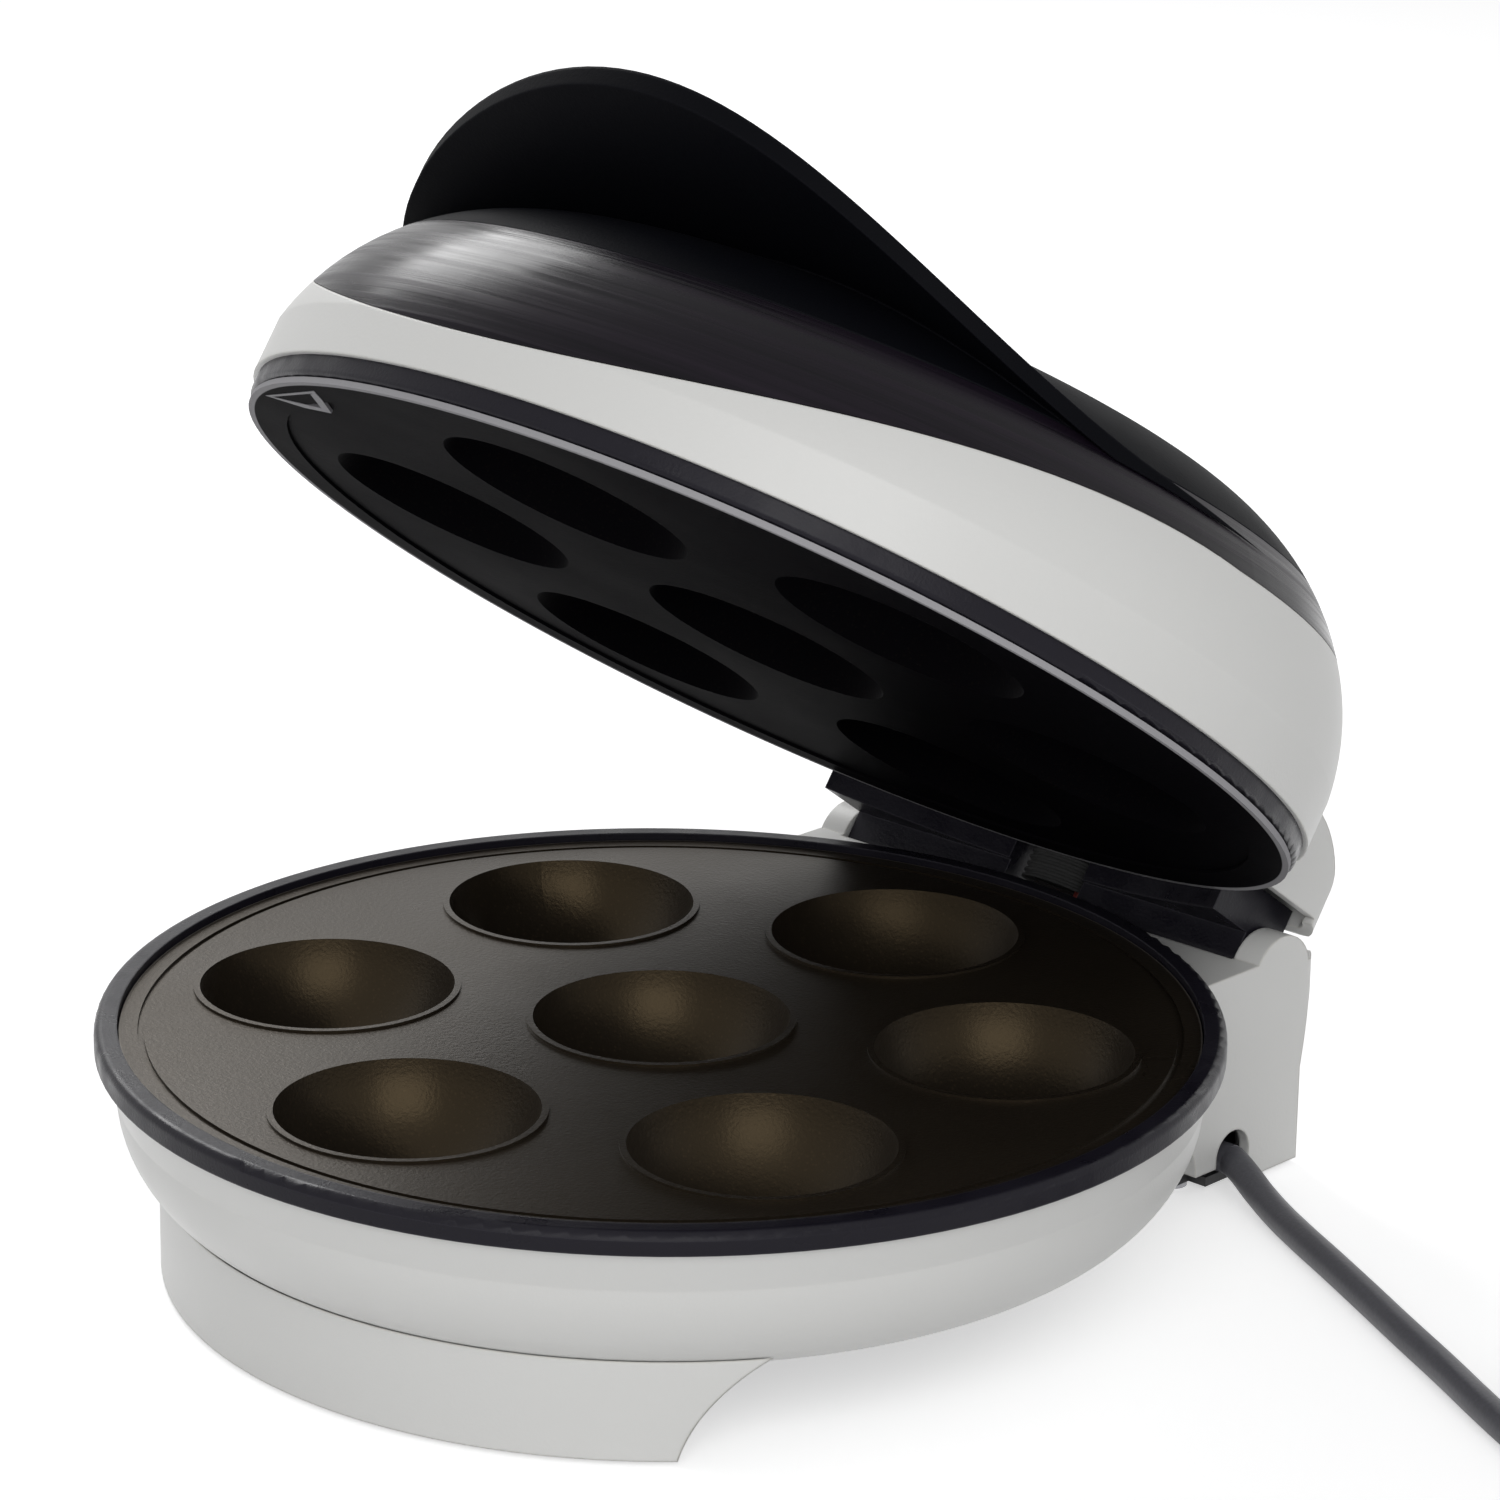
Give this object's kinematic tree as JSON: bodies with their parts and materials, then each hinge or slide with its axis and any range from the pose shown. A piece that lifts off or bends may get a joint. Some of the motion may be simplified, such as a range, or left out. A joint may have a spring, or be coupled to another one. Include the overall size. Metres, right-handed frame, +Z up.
{
  "type": "cake pop maker",
  "caption": "Round electric cake pop maker with a domed lid on a rear hinge, a visor handle, facing plates with round cavities, a front foot and a coiled power cord.",
  "frame": {"origin": "on the table, under the middle of the object's box as it stands open, the cord left out", "axes": "+X to the right of a person who faces the front, +Y to the hinge at the rear, +Z up"},
  "size_m": [0.3579, 0.275, 0.2378],
  "materials": {
    "white_housing": "moulded, satin gloss",
    "black_trim": "moulded, glossy",
    "black_gloss": "moulded, high gloss",
    "black_matte": "moulded, fine matte",
    "black_cover": "moulded, matte",
    "nonstick_plate": "dark brown non-stick coating on cast aluminium",
    "heater_steel": "oxidised steel tube",
    "bright_sheet": "bright rolled sheet",
    "ceramic": "glazed ceramic and heat-proof resin",
    "brass": "plain",
    "lead_insulation": "silicone insulation",
    "pin_steel": "ground",
    "screw_steel": "zinc plated",
    "rubber": "matte",
    "red_lens": "translucent",
    "green_lens": "translucent",
    "cord_rubber": "smooth, satin",
    "plug_metal": "nickel plated brass"
  },
  "bodies": {
    "base": {"base_shell": "white_housing", "front_foot": "white_housing", "bottom_cover": "black_cover", "tower_cover": "black_cover", "rubber_feet": "rubber", "lower_trim_ring": "black_trim", "lower_plate": "nonstick_plate", "lower_heater": "heater_steel", "lower_reflector": "bright_sheet", "thermostat": "ceramic", "thermal_fuse": "brass", "terminal_block": "ceramic", "base_leads": "lead_insulation", "hinge_pins": "pin_steel", "inner_cord": "cord_rubber", "cord_clamp": "black_cover", "clamp_screws": "screw_steel", "base_screws": "screw_steel", "tower_screws": "screw_steel", "foot_screws": "screw_steel", "trim_screws": "screw_steel", "lower_plate_screws": "screw_steel", "lower_reflector_screws": "screw_steel", "power_cord": "cord_rubber", "cord_coil": "cord_rubber", "plug_body": "cord_rubber", "plug_pins": "plug_metal"},
    "lid": {"lid_shell": "white_housing", "lid_cap": "black_gloss", "lid_handle": "black_matte", "lid_frame": "black_trim", "upper_plate": "nonstick_plate", "upper_heater": "heater_steel", "upper_reflector": "bright_sheet", "upper_fuse": "brass", "upper_plate_screws": "screw_steel", "cap_screws": "screw_steel", "handle_screws": "screw_steel", "upper_reflector_screws": "screw_steel", "power_lens": "red_lens", "ready_lens": "green_lens", "lamp_holder": "ceramic", "lid_lead": "lead_insulation"}
  },
  "joints": [
    {"name": "lid_hinge", "type": "hinge", "parent": "base", "child": "lid", "pos_m": [0, 0.10635, 0.0423], "axis": [-1, 0, 0], "range_deg": [-35.8, 59.2]}
  ]
}
